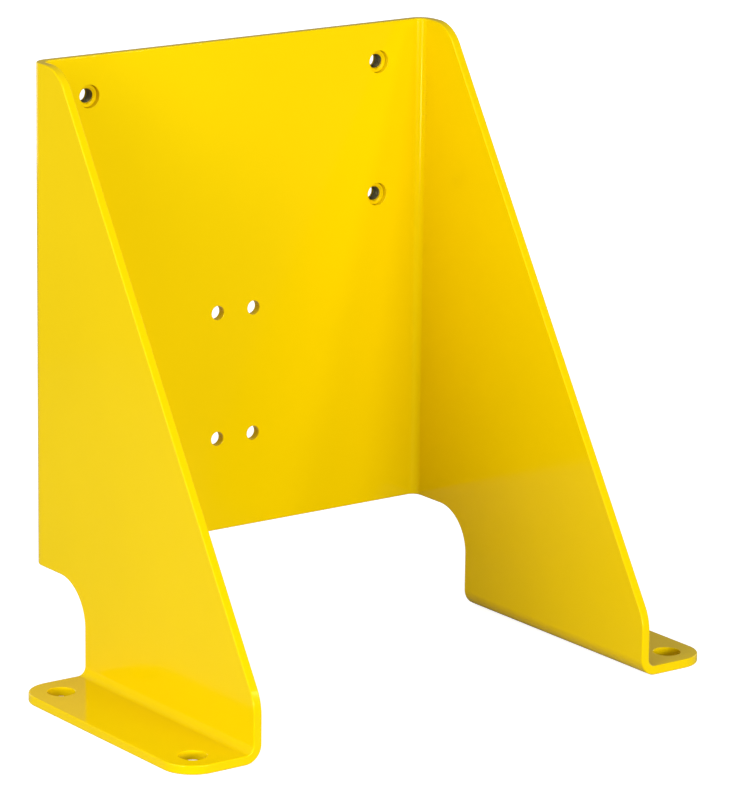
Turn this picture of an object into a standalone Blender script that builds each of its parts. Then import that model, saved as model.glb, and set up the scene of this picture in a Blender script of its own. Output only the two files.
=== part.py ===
"""Floor bracket: one folded steel plate and the four threaded nuts pressed into its back wall.

Metres, +Z up. The origin is on the floor under the middle of the bracket's box. The open front faces -Y,
the back wall stands on the +Y side, and the two feet point outwards along X.
"""
import math

import bmesh
import bpy
from mathutils import Matrix, Vector

# The folded plate
THICK = 0.0042  # 4 mm sheet with its powder coat
BEND_IN = 0.0040  # inside radius of every bend
BEND_OUT = BEND_IN + THICK
WIDTH = 0.218  # across the outer faces of the side walls
DEPTH = 0.178  # from the back face to the front edge
HEIGHT = 0.277
FOOT_REACH = 0.0365  # how far a foot stands out past its side wall
FOOT_CORNER = 0.015
BACK_BOTTOM = 0.046  # height of the back wall's lower edge
NOTCH_DEPTH = 0.0445  # from the back face to the rear edge of the feet
NOTCH_CORNER = 0.0205
SLOPE_TOP = 0.023  # from the back face to where the sloping edge would reach the top
SLOPE_RUN = 0.62  # forwards per unit down
TOP_CORNER = 0.0185
FRONT_CORNER = 0.0225

# Holes, measured across from the middle of the plate and up from the floor
ANCHOR_HOLE = 0.0125
ANCHOR_HALF_SPAN = 0.131
ANCHOR_FROM_BACK = (0.0595, 0.164)
SMALL_HOLE = 0.0066
SMALL_HALF_SPAN = 0.010
SMALL_HEIGHTS = (0.090, 0.150)
NUT_HALF_SPAN = 0.080
NUT_HEIGHTS = {"lower": 0.1955, "upper": 0.2585}

# Press-in nut for an M8 screw
FIT_GAP = 0.0003
NUT_SHANK = 0.0100
NUT_BODY = 0.0127
NUT_BORE = 0.0068
NUT_MOUTH = 0.0084
NUT_SHANK_DEPTH = 0.0022
NUT_BODY_HEIGHT = 0.0055
NUT_CHAMFER = 0.0005
NUT_HOLE = NUT_SHANK + 2 * FIT_GAP

# The box also holds the nuts, which stand out behind the back face
NUT_END = FIT_GAP + NUT_BODY_HEIGHT
BACK_Y = (DEPTH - NUT_END) / 2
FRONT_Y = BACK_Y - DEPTH
NOTCH_Y = BACK_Y - NOTCH_DEPTH
HALF = WIDTH / 2
FOOT_END = HALF + FOOT_REACH
SPARE = 0.010  # how far a tool solid runs past the faces that it does not shape
CORNER_STEPS = 12
HOLE_SIDES = 32
NUT_SIDES = 32


def clear_scene():
    for obj in list(bpy.data.objects):
        bpy.data.objects.remove(obj)


def material(name, colour, roughness, metallic):
    mat = bpy.data.materials.new(name)
    mat.use_nodes = True
    shader = mat.node_tree.nodes["Principled BSDF"]
    shader.inputs["Base Color"].default_value = (*colour, 1)
    shader.inputs["Roughness"].default_value = roughness
    shader.inputs["Metallic"].default_value = metallic
    return mat


def rounded(corners, steps=CORNER_STEPS):
    """Outline points from corners (a, b) or (a, b, radius), with an arc at each corner that has a radius."""
    points = []
    for i, corner in enumerate(corners):
        here = Vector(corner[:2])
        if len(corner) < 3:
            points.append(here)
            continue
        before = (Vector(corners[i - 1][:2]) - here).normalized()
        after = (Vector(corners[(i + 1) % len(corners)][:2]) - here).normalized()
        radius = corner[2]
        half_angle = before.angle(after) / 2
        centre = here + (before + after).normalized() * radius / math.sin(half_angle)
        first = here + before * radius / math.tan(half_angle) - centre
        last = here + after * radius / math.tan(half_angle) - centre
        sweep = first.angle_signed(last)
        for step in range(steps + 1):
            turn = Matrix.Rotation(-sweep * step / steps, 2)
            points.append(centre + turn @ first)
    return points


def prism(name, outline, axis, low, high):
    """Solid made by moving an outline along axis. Its two coordinates are the other axes, in X, Y, Z order."""
    mesh = bpy.data.meshes.new(name)
    bm = bmesh.new()
    ring = []
    for point in outline:
        place = list(point)
        place.insert("XYZ".index(axis), low)
        ring.append(bm.verts.new(place))
    face = bm.faces.new(ring)
    moved = bmesh.ops.extrude_face_region(bm, geom=[face])["geom"]
    travel = [0, 0, 0]
    travel["XYZ".index(axis)] = high - low
    new_verts = [item for item in moved if isinstance(item, bmesh.types.BMVert)]
    bmesh.ops.translate(bm, vec=travel, verts=new_verts)
    bmesh.ops.recalc_face_normals(bm, faces=bm.faces)
    bm.to_mesh(mesh)
    bm.free()
    obj = bpy.data.objects.new(name, mesh)
    bpy.context.collection.objects.link(obj)
    return obj


def as_tool(obj):
    """Marks a solid that only shapes another one."""
    obj.hide_render = True
    obj.display_type = "WIRE"
    return obj


def shape_with(obj, tool, operation):
    mod = obj.modifiers.new(operation.lower() + "_" + tool.name, "BOOLEAN")
    mod.operation = operation
    mod.solver = "EXACT"
    mod.object = as_tool(tool)


def plan_outline():
    """The plate seen from above: a U with a foot on each side of its open end."""
    inner = HALF - THICK
    right = [
        (inner, BACK_Y - THICK, BEND_IN),
        (inner, FRONT_Y),
        (FOOT_END, FRONT_Y, FOOT_CORNER),
        (FOOT_END, NOTCH_Y, FOOT_CORNER),
        (HALF, NOTCH_Y),
        (HALF, BACK_Y, BEND_OUT),
    ]
    left = [(-corner[0], *corner[1:]) for corner in reversed(right)]
    return rounded(right + left)


def front_outline():
    """The plate seen from the front, walls filled in above the lower bends, where the plan leaves them open."""
    inner = HALF - THICK
    top = HEIGHT + SPARE
    between_walls = BACK_BOTTOM / 2
    right = [
        (inner, between_walls),
        (inner, 0, BEND_OUT),
        (FOOT_END, 0),
        (FOOT_END, THICK),
        (HALF, THICK, BEND_IN),
        (HALF, top),
    ]
    left = [(-corner[0], *corner[1:]) for corner in reversed(right)]
    return rounded(right + left)


def side_outline():
    """The plate seen from the side: notch behind the feet, short upright front edge, then the long slope."""
    behind = BACK_Y + SPARE
    slope_top_y = BACK_Y - SLOPE_TOP
    slope_foot_z = HEIGHT - (slope_top_y - FRONT_Y) / SLOPE_RUN
    return rounded([
        (behind, BACK_BOTTOM),
        (NOTCH_Y, BACK_BOTTOM, NOTCH_CORNER),
        (NOTCH_Y, -SPARE),
        (FRONT_Y, -SPARE),
        (FRONT_Y, slope_foot_z, FRONT_CORNER),
        (slope_top_y, HEIGHT, TOP_CORNER),
        (behind, HEIGHT),
    ])


def circle(centre, diameter, sides=HOLE_SIDES):
    turns = [2 * math.pi * side / sides for side in range(sides)]
    return [Vector((math.cos(a), math.sin(a))) * diameter / 2 + Vector(centre) for a in turns]


def join(name, objects):
    bpy.ops.object.select_all(action="DESELECT")
    for obj in objects:
        obj.select_set(True)
    bpy.context.view_layer.objects.active = objects[0]
    bpy.ops.object.join()
    objects[0].name = name
    return objects[0]


def hole_tools():
    """Every hole in the plate as one group of separate cylinders."""
    wall = (BACK_Y - THICK - SPARE, BACK_Y + SPARE)
    foot = (-SPARE, THICK + SPARE)
    tools = []
    for side in (-1, 1):
        for height in SMALL_HEIGHTS:
            tools.append(prism("tool", circle((side * SMALL_HALF_SPAN, height), SMALL_HOLE), "Y", *wall))
        for height in NUT_HEIGHTS.values():
            tools.append(prism("tool", circle((side * NUT_HALF_SPAN, height), NUT_HOLE), "Y", *wall))
        for from_back in ANCHOR_FROM_BACK:
            centre = (side * ANCHOR_HALF_SPAN, BACK_Y - from_back)
            tools.append(prism("tool", circle(centre, ANCHOR_HOLE), "Z", *foot))
    return join("holes", tools)


def make_plate(paint):
    """The folded plate is what its plan, front and side outlines have in common, less the holes."""
    plate = prism("folded_plate", plan_outline(), "Z", -SPARE, HEIGHT + SPARE)
    front = prism("front_shape", front_outline(), "Y", FRONT_Y - SPARE, BACK_Y + SPARE)
    side = prism("side_shape", side_outline(), "X", -FOOT_END - SPARE, FOOT_END + SPARE)
    shape_with(plate, front, "INTERSECT")
    shape_with(plate, side, "INTERSECT")
    shape_with(plate, hole_tools(), "DIFFERENCE")
    plate.data.materials.append(paint)
    return plate


def nut_profile():
    """(radius, distance behind the back face) round the nut's section, from the bore's front end outwards."""
    bore = NUT_BORE / 2
    mouth = NUT_MOUTH / 2
    shank = NUT_SHANK / 2
    body = NUT_BODY / 2
    slope = mouth - bore
    front = -NUT_SHANK_DEPTH
    return [
        (bore, front + slope),
        (mouth, front),
        (shank, front),
        (shank, FIT_GAP),
        (body, FIT_GAP),
        (body, NUT_END - NUT_CHAMFER),
        (body - NUT_CHAMFER, NUT_END),
        (mouth, NUT_END),
        (bore, NUT_END - slope),
    ]


def nut_mesh():
    mesh = bpy.data.meshes.new("nut")
    bm = bmesh.new()
    rings = []
    for side in range(NUT_SIDES):
        angle = 2 * math.pi * side / NUT_SIDES
        rings.append([
            bm.verts.new((radius * math.cos(angle), behind, radius * math.sin(angle)))
            for radius, behind in nut_profile()
        ])
    for ring, after in zip(rings, rings[1:] + rings[:1]):
        for i in range(len(ring)):
            bm.faces.new((ring[i - 1], ring[i], after[i], after[i - 1]))
    bmesh.ops.recalc_face_normals(bm, faces=bm.faces)
    bm.to_mesh(mesh)
    bm.free()
    mesh.shade_smooth()
    mesh.set_sharp_from_angle(angle=math.radians(30))
    return mesh


def make_nuts(steel):
    mesh = nut_mesh()
    mesh.materials.append(steel)
    for side_name, side in (("left", -1), ("right", 1)):
        for level, height in NUT_HEIGHTS.items():
            nut = bpy.data.objects.new(f"press_nut_{level}_{side_name}", mesh)
            nut.location = (side * NUT_HALF_SPAN, BACK_Y, height)
            bpy.context.collection.objects.link(nut)


def main():
    clear_scene()
    paint = material("yellow_powder_coat", (0.93, 0.66, 0.0), 0.35, 0.0)
    steel = material("plated_steel", (0.45, 0.43, 0.40), 0.4, 1.0)
    make_plate(paint)
    make_nuts(steel)


main()
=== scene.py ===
"""The looks of the folded steel floor bracket: its coated plate and threaded nuts, the studio and the camera.

Metres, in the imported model's frame: +Z up, the open front faces -Y, the feet point outwards along X.
"""
import math

import bmesh
import bpy
from mathutils import Matrix, Vector


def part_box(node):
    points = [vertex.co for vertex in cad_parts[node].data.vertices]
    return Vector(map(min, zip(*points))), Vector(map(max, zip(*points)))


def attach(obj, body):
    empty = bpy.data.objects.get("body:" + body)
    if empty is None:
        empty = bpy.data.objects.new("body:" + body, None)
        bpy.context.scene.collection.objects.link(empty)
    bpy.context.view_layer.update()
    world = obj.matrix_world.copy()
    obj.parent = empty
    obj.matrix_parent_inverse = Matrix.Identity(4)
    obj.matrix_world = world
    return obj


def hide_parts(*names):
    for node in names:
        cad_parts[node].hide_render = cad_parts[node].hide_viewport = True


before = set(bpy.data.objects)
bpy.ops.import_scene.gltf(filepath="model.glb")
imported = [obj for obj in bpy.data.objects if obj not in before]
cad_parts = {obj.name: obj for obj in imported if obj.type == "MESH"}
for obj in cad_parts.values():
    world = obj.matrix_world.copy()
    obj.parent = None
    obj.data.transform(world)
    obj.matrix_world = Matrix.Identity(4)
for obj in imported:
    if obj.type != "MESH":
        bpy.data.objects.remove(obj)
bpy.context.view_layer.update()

# The folded plate, placed by its packed box
PLATE_LOW, PLATE_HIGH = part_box("folded_plate")
BACK_Y = PLATE_HIGH.y
FRONT_Y = PLATE_LOW.y
HEIGHT = PLATE_HIGH.z
FOOT_END = PLATE_HIGH.x
THICK = 0.0042  # with its coat
BEND_IN = 0.0040
BEND_OUT = BEND_IN + THICK
FOOT_REACH = 0.0365
HALF = FOOT_END - FOOT_REACH  # outer face of a side wall
BACK_BOTTOM = 0.046
NOTCH_Y = BACK_Y - 0.0445
NOTCH_CORNER = 0.0205
SLOPE_TOP_Y = BACK_Y - 0.023
SLOPE_RUN = 0.62  # forwards per unit down
TOP_CORNER = 0.0185
FRONT_CORNER = 0.0225
FOOT_CORNER = 0.015
EDGE_ROUND = 0.0006  # the coat's rounding of the outer cut edge
HOLE_ROUND = 0.0003  # and of the holes' edges
CORNER_STEPS = 24
BEND_STEPS = 16
EDGE_STEPS = 5
NORMAL_STEP = 1e-5  # how far along its flat normal a point is folded too, which gives the folded normal
CUT_TOLERANCE = 1e-7

# Its holes
ANCHOR_HOLE = 0.0125
ANCHOR_X = 0.131
ANCHOR_Y = (BACK_Y - 0.0595, BACK_Y - 0.164)
SMALL_HOLE = 0.0066
SMALL_X = 0.010
SMALL_HEIGHTS = (0.090, 0.150)
NUT_HOLE = 0.0106
NUT_NODES = [name for name in sorted(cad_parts) if name.startswith("press_nut")]
HOLE_SIDES = 72

# The blank is the plate laid flat: u runs across it from its middle, v up it and w through it
BEND_LENGTH = (BEND_IN + THICK / 2) * math.pi / 2
WALL_BEND_U = HALF - BEND_OUT
FOOT_BEND_V = BEND_OUT


def rounded(corners):
    """Outline points from corners (a, b, radius)."""
    points = []
    for i, corner in enumerate(corners):
        here = Vector(corner[:2])
        before = (Vector(corners[i - 1][:2]) - here).normalized()
        after = (Vector(corners[(i + 1) % len(corners)][:2]) - here).normalized()
        half_angle = before.angle(after) / 2
        centre = here + (before + after).normalized() * corner[2] / math.sin(half_angle)
        first = here + before * corner[2] / math.tan(half_angle) - centre
        last = here + after * corner[2] / math.tan(half_angle) - centre
        sweep = first.angle_signed(last)
        for step in range(CORNER_STEPS + 1):
            points.append(centre + Matrix.Rotation(-sweep * step / CORNER_STEPS, 2) @ first)
    return points


def wall_u(y):
    """The blank's u of a point of a side wall."""
    return WALL_BEND_U + BEND_LENGTH + BACK_Y - BEND_OUT - y


def foot_v(x):
    """The blank's v of a point of a foot."""
    return FOOT_BEND_V - BEND_LENGTH - (x - HALF - BEND_IN)


def blank_outline():
    """The blank's outer edge, with its corners rounded."""
    slope_foot_z = HEIGHT - (SLOPE_TOP_Y - FRONT_Y) / SLOPE_RUN
    right = [
        (wall_u(NOTCH_Y), BACK_BOTTOM, NOTCH_CORNER),
        (wall_u(NOTCH_Y), foot_v(FOOT_END), FOOT_CORNER),
        (wall_u(FRONT_Y), foot_v(FOOT_END), FOOT_CORNER),
        (wall_u(FRONT_Y), slope_foot_z, FRONT_CORNER),
        (wall_u(SLOPE_TOP_Y), HEIGHT, TOP_CORNER),
    ]
    left = [(-u, v, radius) for u, v, radius in reversed(right)]
    return rounded(right + left)


def circle(centre, diameter):
    """Runs clockwise, so that it bounds a hole."""
    turns = [-2 * math.pi * side / HOLE_SIDES for side in range(HOLE_SIDES)]
    return [Vector((math.cos(turn), math.sin(turn))) * diameter / 2 + Vector(centre) for turn in turns]


def blank_holes():
    """The edges of the plain holes, the anchor holes and the nuts' holes."""
    holes = []
    for side in (-1, 1):
        holes += [circle((side * SMALL_X, height), SMALL_HOLE) for height in SMALL_HEIGHTS]
        holes += [circle((side * wall_u(y), foot_v(ANCHOR_X)), ANCHOR_HOLE) for y in ANCHOR_Y]
    for name in NUT_NODES:
        low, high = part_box(name)
        holes.append(circle(((low.x + high.x) / 2, (low.z + high.z) / 2), NUT_HOLE))
    return holes


def outward(loop):
    """At each point of a loop, the sideways step that moves both of its edges out by one unit."""
    steps = []
    for i, here in enumerate(loop):
        before = (here - loop[i - 1]).normalized()
        after = (loop[(i + 1) % len(loop)] - here).normalized()
        normal = Vector((before.y + after.y, -before.x - after.x)).normalized()
        steps.append(normal / normal.dot(Vector((before.y, -before.x))))
    return steps


def edge_rings(radius):
    """(inset, w, tilt) of each ring round a cut edge, from the back face to the front one."""
    rings = []
    for step in range(EDGE_STEPS + 1):
        tilt = math.pi / 2 * step / EDGE_STEPS
        rings.append((radius * (1 - math.sin(tilt)), radius * (1 - math.cos(tilt)), tilt))
    back = list(rings)
    front = [(inset, THICK - w, math.pi - tilt) for inset, w, tilt in reversed(rings)]
    return back + front


def add_edge(bm, loop, radius, flat_normal):
    """The rounded cut edge round one loop of the blank. Gives its first and last ring of edges."""
    rings = []
    for inset, w, tilt in edge_rings(radius):
        ring = []
        for point, step in zip(loop, outward(loop)):
            place = point - step * inset
            vert = bm.verts.new((place.x, place.y, w))
            side = step.normalized() * math.sin(tilt)
            vert[flat_normal] = (side.x, side.y, -math.cos(tilt))
            ring.append(vert)
        rings.append(ring)
    for lower, upper in zip(rings, rings[1:]):
        for i in range(len(loop)):
            bm.faces.new((lower[i - 1], lower[i], upper[i], upper[i - 1]))
    ends = (rings[0], rings[-1])
    return [[bm.edges.get((ring[i - 1], ring[i])) for i in range(len(ring))] for ring in ends]


def fold(u, v, w):
    """Where a point of the flat blank lies on the folded plate."""
    past = FOOT_BEND_V - v
    if past <= 0:
        out, z = -w, v
    elif past < BEND_LENGTH:
        turn = past / BEND_LENGTH * math.pi / 2
        out = BEND_IN - (BEND_IN + w) * math.cos(turn)
        z = FOOT_BEND_V - (BEND_IN + w) * math.sin(turn)
    else:
        out = BEND_IN + past - BEND_LENGTH
        z = FOOT_BEND_V - BEND_IN - w
    past = abs(u) - WALL_BEND_U
    if past <= 0:
        x, y = abs(u), BACK_Y + out
    elif past < BEND_LENGTH:
        turn = past / BEND_LENGTH * math.pi / 2
        x = WALL_BEND_U + (BEND_OUT + out) * math.sin(turn)
        y = BACK_Y - BEND_OUT + (BEND_OUT + out) * math.cos(turn)
    else:
        x = HALF + out
        y = BACK_Y - BEND_OUT - (past - BEND_LENGTH)
    return Vector((math.copysign(x, u), y, z))


def cut_across(bm, place, direction):
    """Adds edges where a plane crosses the blank, so that it can bend there."""
    geometry = bm.verts[:] + bm.edges[:] + bm.faces[:]
    bmesh.ops.bisect_plane(bm, geom=geometry, dist=CUT_TOLERANCE, plane_co=place, plane_no=direction)


def make_plate(coat):
    """One sheet with rounded cut edges, made flat and then folded at its four bends."""
    bm = bmesh.new()
    flat_normal = bm.verts.layers.float_vector.new("flat_normal")
    back_edges = []
    front_edges = []
    loops = [(blank_outline(), EDGE_ROUND)]
    loops += [(hole, HOLE_ROUND) for hole in blank_holes()]
    for loop, radius in loops:
        back, front = add_edge(bm, loop, radius, flat_normal)
        back_edges += back
        front_edges += front
    bmesh.ops.triangle_fill(bm, use_beauty=True, edges=back_edges, normal=(0, 0, -1))
    bmesh.ops.triangle_fill(bm, use_beauty=True, edges=front_edges, normal=(0, 0, 1))
    bmesh.ops.recalc_face_normals(bm, faces=bm.faces)
    if bm.calc_volume(signed=True) < 0:
        bmesh.ops.reverse_faces(bm, faces=bm.faces)
    for step in range(BEND_STEPS + 1):
        along = BEND_LENGTH * step / BEND_STEPS
        cut_across(bm, (WALL_BEND_U + along, 0, 0), (1, 0, 0))
        cut_across(bm, (-WALL_BEND_U - along, 0, 0), (1, 0, 0))
        cut_across(bm, (0, FOOT_BEND_V - along, 0), (0, 1, 0))
    normals = []
    for vert in bm.verts:
        flat = vert.co.copy()
        ahead = flat + vert[flat_normal].normalized() * NORMAL_STEP
        vert.co = fold(*flat)
        normals.append((fold(*ahead) - vert.co).normalized())
    plate = add_piece("folded_plate_coated", bm, [coat])
    plate.data.normals_split_custom_set_from_vertices(normals)
    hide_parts("folded_plate")
    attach(plate, "root")


def add_piece(name, bm, materials):
    """A smooth shaded object from a finished bmesh."""
    mesh = bpy.data.meshes.new(name)
    bm.to_mesh(mesh)
    bm.free()
    mesh.shade_smooth()
    for mat in materials:
        mesh.materials.append(mat)
    piece = bpy.data.objects.new(name, mesh)
    bpy.context.collection.objects.link(piece)
    return piece


# Press-in M8 nut
NUT_STANDS = 0.0058  # behind the back face
NUT_SHANK_DEPTH = 0.0022
NUT_SHANK = 0.0104
NUT_BODY = 0.0127
NUT_ROUND = 0.0005  # at the far end of the body
NUT_LEAD = 0.0003  # at the front of the shank
NUT_FILLET = 0.0001  # where the body meets the plate
NUT_CLEAR = 0.00005  # between the body and the plate
FILLET_STEPS = 4
THREAD_MAJOR = 0.0080
THREAD_MINOR = 0.00665
THREAD_PITCH = 0.00125
THREAD_STEPS = 12  # along one pitch
THREAD_CREST = 0.125  # share of half a pitch that is flat crest
THREAD_FLANK = 0.625  # and that is flank
NUT_MOUTH = 0.0079
COAT_REACH = 0.0016  # how far the coat goes into each end of the bore
NUT_SIDES = 48
NUT_SHARP = math.radians(35)  # edges that turn by more are shaded sharp


def thread_radius(along, turn):
    """Bore radius of the thread at a distance along it: flat crests and roots with 60 degree flanks."""
    phase = (along / THREAD_PITCH - turn / (2 * math.pi)) % 1
    height = abs(phase - 0.5) * 2
    height = min(max((height - THREAD_CREST) / THREAD_FLANK, 0), 1)
    return (THREAD_MINOR + (THREAD_MAJOR - THREAD_MINOR) * height) / 2


def bore_radius(along, turn, length):
    """The thread's radius, opened to a cone at both mouths."""
    from_end = min(along, length - along)
    return max(thread_radius(along, turn), NUT_MOUTH / 2 - from_end)


def nut_outside():
    """(radius, y) round the outside of the nut, y counted from the plate's back face."""
    front = -NUT_SHANK_DEPTH
    corners = [
        (NUT_SHANK / 2, front, NUT_LEAD),
        (NUT_SHANK / 2, NUT_CLEAR, NUT_FILLET),
        (NUT_BODY / 2, NUT_CLEAR, NUT_FILLET),
        (NUT_BODY / 2, NUT_STANDS, NUT_ROUND),
    ]
    points = []
    for i, (radius, y, fillet) in enumerate(corners):
        here = Vector((radius, y))
        before = Vector(corners[i - 1][:2]) if i else Vector((NUT_MOUTH / 2, front))
        after = Vector(corners[i + 1][:2]) if i + 1 < len(corners) else Vector((NUT_MOUTH / 2, NUT_STANDS))
        first = here + (before - here).normalized() * fillet
        last = here + (after - here).normalized() * fillet
        for step in range(FILLET_STEPS + 1):
            blend = step / FILLET_STEPS
            points.append(first * (1 - blend) ** 2 + here * 2 * blend * (1 - blend) + last * blend ** 2)
    return points


def make_nut(node, coat, steel):
    """A nut turned about its bore: coated outside and at its mouths, bare steel in its thread."""
    low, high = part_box(node)
    centre = Vector(((low.x + high.x) / 2, BACK_Y, (low.z + high.z) / 2))
    length = NUT_SHANK_DEPTH + NUT_STANDS
    bore_steps = round(length / THREAD_PITCH * THREAD_STEPS)
    outside = nut_outside()
    bm = bmesh.new()
    columns = []
    for side in range(NUT_SIDES):
        turn = 2 * math.pi * side / NUT_SIDES
        section = [tuple(point) for point in outside]
        for step in range(bore_steps + 1):
            along = length * (1 - step / bore_steps)
            section.append((bore_radius(along, turn, length), along - NUT_SHANK_DEPTH))
        columns.append([
            bm.verts.new(centre + Vector((radius * math.cos(turn), y, radius * math.sin(turn))))
            for radius, y in section
        ])
    for column, after in zip(columns, columns[1:] + columns[:1]):
        for i in range(len(column)):
            face = bm.faces.new((column[i - 1], column[i], after[i], after[i - 1]))
            from_end = min(i - len(outside), len(column) - i) * length / bore_steps
            face.material_index = 1 if from_end > COAT_REACH else 0
    bmesh.ops.recalc_face_normals(bm, faces=bm.faces)
    nut = add_piece(node + "_threaded", bm, [coat, steel])
    nut.data.set_sharp_from_angle(angle=NUT_SHARP)
    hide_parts(node)
    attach(nut, "root")


# Materials
COAT_DARK = (0.772, 0.545, 0.0)
COAT_LIGHT = (0.792, 0.561, 0.0)
COAT_GLOSS = (0.10, 0.15)  # lowest and highest roughness
COAT_HIGHLIGHT = (1.0, 0.85, 0.25, 1)
PEEL_DEPTH = 0.000012
GRAIN_DEPTH = 0.000003
STEEL_DARK = (0.11, 0.10, 0.045)
STEEL_LIGHT = (0.22, 0.20, 0.10)
STEEL_GLOSS = (0.35, 0.55)
STEEL_GRAIN_DEPTH = 0.00001
PAPER_DARK = (0.44, 0.44, 0.44)
PAPER_LIGHT = (0.46, 0.46, 0.46)
NOISE_LOW = 0.3  # most values of a noise texture lie between these two
NOISE_HIGH = 0.7


def node_material(name):
    mat = bpy.data.materials.new(name)
    mat.use_nodes = True
    nodes = mat.node_tree.nodes
    return mat, nodes, mat.node_tree.links, nodes["Principled BSDF"]


def noise(nodes, links, place, scale, detail):
    texture = nodes.new("ShaderNodeTexNoise")
    texture.inputs["Scale"].default_value = scale
    texture.inputs["Detail"].default_value = detail
    links.new(place.outputs["Object"], texture.inputs["Vector"])
    return texture.outputs["Fac"]


def between(nodes, links, factor, low, high):
    """A colour or a value that follows a noise from low to high."""
    is_colour = isinstance(low, tuple)
    mix = nodes.new("ShaderNodeMix")
    mix.data_type = "RGBA" if is_colour else "FLOAT"
    first, second, result = (6, 7, 2) if is_colour else (2, 3, 0)  # sockets A, B and Result of that type
    stretch = nodes.new("ShaderNodeMapRange")
    stretch.inputs["From Min"].default_value = NOISE_LOW
    stretch.inputs["From Max"].default_value = NOISE_HIGH
    links.new(factor, stretch.inputs["Value"])
    links.new(stretch.outputs["Result"], mix.inputs[0])
    mix.inputs[first].default_value = (*low, 1) if is_colour else low
    mix.inputs[second].default_value = (*high, 1) if is_colour else high
    return mix.outputs[result]


def bump(nodes, links, height, depth, strength, under=None):
    node = nodes.new("ShaderNodeBump")
    node.inputs["Strength"].default_value = strength
    node.inputs["Distance"].default_value = depth
    links.new(height, node.inputs["Height"])
    if under:
        links.new(under, node.inputs["Normal"])
    return node.outputs["Normal"]


def powder_coat():
    """Smooth semi-gloss safety yellow with a fine orange peel."""
    mat, nodes, links, shader = node_material("yellow_powder_coat")
    place = nodes.new("ShaderNodeTexCoord")
    shade = noise(nodes, links, place, scale=14, detail=3)
    peel = noise(nodes, links, place, scale=420, detail=2)
    grain = noise(nodes, links, place, scale=1800, detail=1)
    links.new(between(nodes, links, shade, COAT_DARK, COAT_LIGHT), shader.inputs["Base Color"])
    links.new(between(nodes, links, peel, *COAT_GLOSS), shader.inputs["Roughness"])
    soft = bump(nodes, links, peel, PEEL_DEPTH, strength=0.25)
    links.new(bump(nodes, links, grain, GRAIN_DEPTH, strength=0.2, under=soft), shader.inputs["Normal"])
    shader.inputs["Specular IOR Level"].default_value = 0.9
    shader.inputs["IOR"].default_value = 1.25
    shader.inputs["Specular Tint"].default_value = COAT_HIGHLIGHT
    return mat


def bare_steel():
    """The plated steel of the threads, which the coat leaves bare."""
    mat, nodes, links, shader = node_material("plated_thread_steel")
    place = nodes.new("ShaderNodeTexCoord")
    shade = noise(nodes, links, place, scale=900, detail=4)
    links.new(between(nodes, links, shade, STEEL_DARK, STEEL_LIGHT), shader.inputs["Base Color"])
    links.new(between(nodes, links, shade, *STEEL_GLOSS), shader.inputs["Roughness"])
    links.new(bump(nodes, links, shade, STEEL_GRAIN_DEPTH, strength=0.4), shader.inputs["Normal"])
    shader.inputs["Metallic"].default_value = 1
    return mat


# Studio: a sheet of pale paper under soft lights
PAPER_LOW = (-0.45, -0.20)
PAPER_HIGH = (0.45, 0.55)
PAPER_GAP = 0.0001  # under the feet, so that the faces never coincide
PAPER_GLOW = 0.88
AMBIENT = 0.23
BACKDROP = 1.05
BRACKET_MIDDLE = (0, 0, HEIGHT / 2)
RIGHT_WALL = (0.10, 0, 0.20)
SLOPE_FOOT = (-0.107, -0.09, 0.03)  # at the front of the left wall

# Each light's place, what it faces, its width and height, and its power in watts
LIGHTS = {
    "left_key": ((-0.93, -0.13, 0.48), BRACKET_MIDDLE, (0.9, 0.9), 8.9),
    "front_low": ((0, -1.30, 0.21), BRACKET_MIDDLE, (0.8, 0.3), 11.8),
    "front_top": ((-0.15, -0.82, 1.13), BRACKET_MIDDLE, (0.8, 0.8), 1.5),
    "inner_top": ((-0.05, -0.15, 0.65), RIGHT_WALL, (0.25, 0.25), 0.55),
    "back_fill": ((-0.10, 1.27, 0.36), BRACKET_MIDDLE, (0.8, 0.8), 2.6),
    "right_fill": ((1.28, 0.11, 0.36), BRACKET_MIDDLE, (0.8, 0.8), 1.8),
    "left_strip": ((-0.67, -0.34, 0.07), BRACKET_MIDDLE, (0.20, 0.05), 0.65),
    "right_card": ((0.60, -0.96, 0.45), SLOPE_FOOT, (0.10, 0.40), 1.8),
}


def camera_only(nodes, links, strength):
    """A strength that only direct sight sees, not bounces or reflections."""
    path = nodes.new("ShaderNodeLightPath")
    scale = nodes.new("ShaderNodeMath")
    scale.operation = "MULTIPLY"
    scale.inputs[1].default_value = strength
    links.new(path.outputs["Is Camera Ray"], scale.inputs[0])
    return scale.outputs["Value"]


def make_floor():
    mat, nodes, links, shader = node_material("pale_paper")
    place = nodes.new("ShaderNodeTexCoord")
    shade = noise(nodes, links, place, scale=3, detail=2)
    links.new(between(nodes, links, shade, PAPER_DARK, PAPER_LIGHT), shader.inputs["Base Color"])
    links.new(camera_only(nodes, links, PAPER_GLOW), shader.inputs["Emission Strength"])
    shader.inputs["Emission Color"].default_value = (1, 1, 1, 1)
    shader.inputs["Roughness"].default_value = 0.9
    shader.inputs["Specular IOR Level"].default_value = 0.1
    bm = bmesh.new()
    left, front = PAPER_LOW
    right, back = PAPER_HIGH
    corners = ((left, front), (right, front), (right, back), (left, back))
    bm.faces.new([bm.verts.new((x, y, -PAPER_GAP)) for x, y in corners])
    add_piece("floor", bm, [mat])


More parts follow.
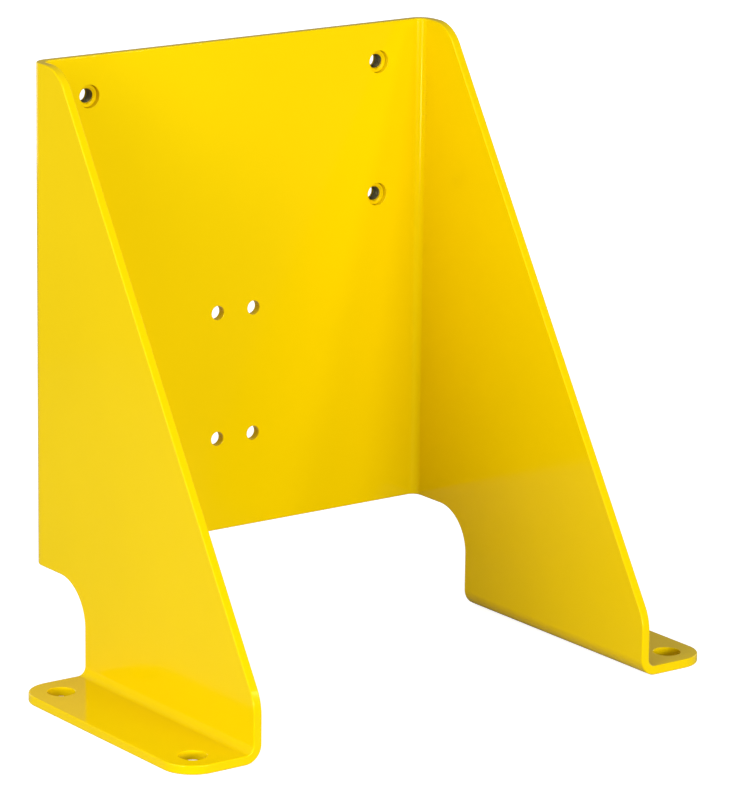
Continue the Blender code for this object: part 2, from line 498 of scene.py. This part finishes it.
def area_light(name, place, aim, size, power):
    light = bpy.data.lights.new(name, "AREA")
    light.shape = "RECTANGLE"
    light.size, light.size_y = size
    light.energy = power
    lamp = bpy.data.objects.new(name, light)
    lamp.location = place
    lamp.rotation_euler = (Vector(aim) - Vector(place)).to_track_quat("-Z", "Y").to_euler()
    lamp.visible_camera = False
    bpy.context.collection.objects.link(lamp)


def make_world():
    world = bpy.context.scene.world or bpy.data.worlds.new("studio")
    bpy.context.scene.world = world
    world.use_nodes = True
    nodes, links = world.node_tree.nodes, world.node_tree.links
    nodes.clear()
    background = nodes.new("ShaderNodeBackground")
    background.inputs["Color"].default_value = (1, 1, 1, 1)
    total = nodes.new("ShaderNodeMath")
    total.inputs[1].default_value = AMBIENT
    links.new(camera_only(nodes, links, BACKDROP), total.inputs[0])
    links.new(total.outputs["Value"], background.inputs["Strength"])
    out = nodes.new("ShaderNodeOutputWorld")
    links.new(background.outputs["Background"], out.inputs["Surface"])
    bpy.context.scene.view_settings.view_transform = "Standard"


# Camera
CAMERA_AIM = Vector((0.0061, -0.0112, 0.1267))
CAMERA_DISTANCE = 2.091
CAMERA_AZIMUTH = math.radians(-36.18)
CAMERA_ELEVATION = math.radians(14.61)
CAMERA_ROLL = math.radians(0.75)
CAMERA_LENS = 210.0  # millimetres


def make_camera():
    data = bpy.data.cameras.new("camera")
    data.lens = CAMERA_LENS
    data.sensor_width = 36
    data.clip_end = 50
    camera = bpy.data.objects.new("camera", data)
    back = Vector((
        math.sin(CAMERA_AZIMUTH) * math.cos(CAMERA_ELEVATION),
        -math.cos(CAMERA_AZIMUTH) * math.cos(CAMERA_ELEVATION),
        math.sin(CAMERA_ELEVATION),
    ))
    camera.location = CAMERA_AIM + back * CAMERA_DISTANCE
    turn = (-back).to_track_quat("-Z", "Y").to_matrix() @ Matrix.Rotation(CAMERA_ROLL, 3, "Z")
    camera.rotation_euler = turn.to_euler()
    bpy.context.collection.objects.link(camera)
    bpy.context.scene.camera = camera


make_camera()
coat = powder_coat()
steel = bare_steel()
make_plate(coat)
for nut_node in NUT_NODES:
    make_nut(nut_node, coat, steel)
make_floor()
for light_name, settings in LIGHTS.items():
    area_light(light_name, *settings)
make_world()
